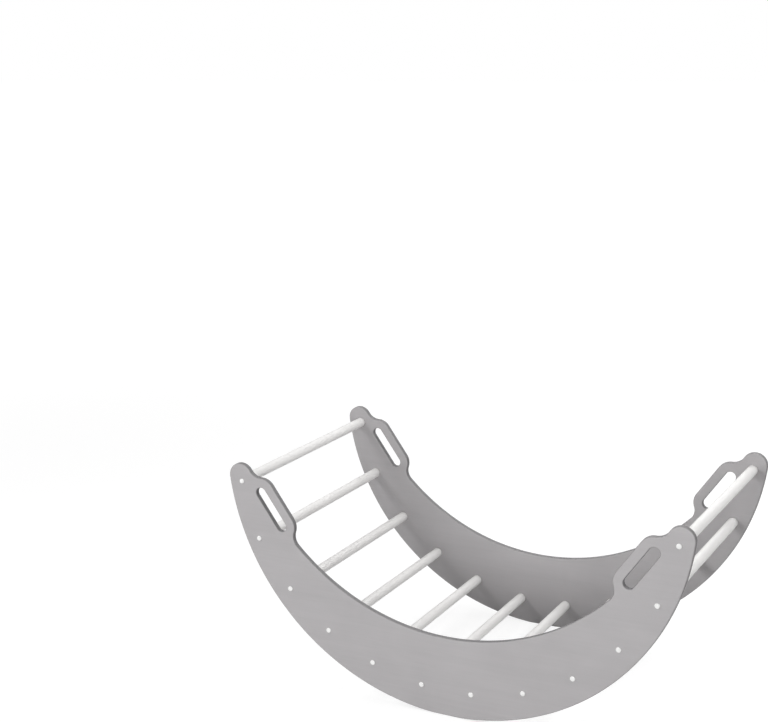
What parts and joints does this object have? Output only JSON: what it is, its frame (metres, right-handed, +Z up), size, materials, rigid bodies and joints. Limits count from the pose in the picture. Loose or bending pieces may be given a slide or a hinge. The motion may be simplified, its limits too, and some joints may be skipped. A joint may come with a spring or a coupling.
{
  "type": "climbing arch",
  "caption": "Climbing arch and rocker: crescent side panels with hand slots, joined by round rungs between them.",
  "frame": {"origin": "on the floor, below the middle of the arch", "axes": "+X along the arch's length from tip to tip, +Y across its width from front panel to back panel, +Z up"},
  "size_m": [0.9996, 0.5282, 0.4687],
  "materials": {
    "panel_paint": "satin grey paint on plywood",
    "rung_paint": "satin off-white paint on dowel",
    "screw_steel": "zinc plated",
    "cap_plastic": "white moulded cap"
  },
  "bodies": {
    "root": {"side_panel_front": "panel_paint", "side_panel_back": "panel_paint", "rung_01": "rung_paint", "rung_02": "rung_paint", "rung_03": "rung_paint", "rung_04": "rung_paint", "rung_05": "rung_paint", "rung_06": "rung_paint", "rung_07": "rung_paint", "rung_08": "rung_paint", "rung_09": "rung_paint", "rung_10": "rung_paint", "rung_11": "rung_paint", "rung_12": "rung_paint", "screw_front_01": "screw_steel", "screw_front_02": "screw_steel", "screw_front_03": "screw_steel", "screw_front_04": "screw_steel", "screw_front_05": "screw_steel", "screw_front_06": "screw_steel", "screw_front_07": "screw_steel", "screw_front_08": "screw_steel", "screw_front_09": "screw_steel", "screw_front_10": "screw_steel", "screw_front_11": "screw_steel", "screw_front_12": "screw_steel", "screw_back_01": "screw_steel", "screw_back_02": "screw_steel", "screw_back_03": "screw_steel", "screw_back_04": "screw_steel", "screw_back_05": "screw_steel", "screw_back_06": "screw_steel", "screw_back_07": "screw_steel", "screw_back_08": "screw_steel", "screw_back_09": "screw_steel", "screw_back_10": "screw_steel", "screw_back_11": "screw_steel", "screw_back_12": "screw_steel"}
  },
  "joints": []
}
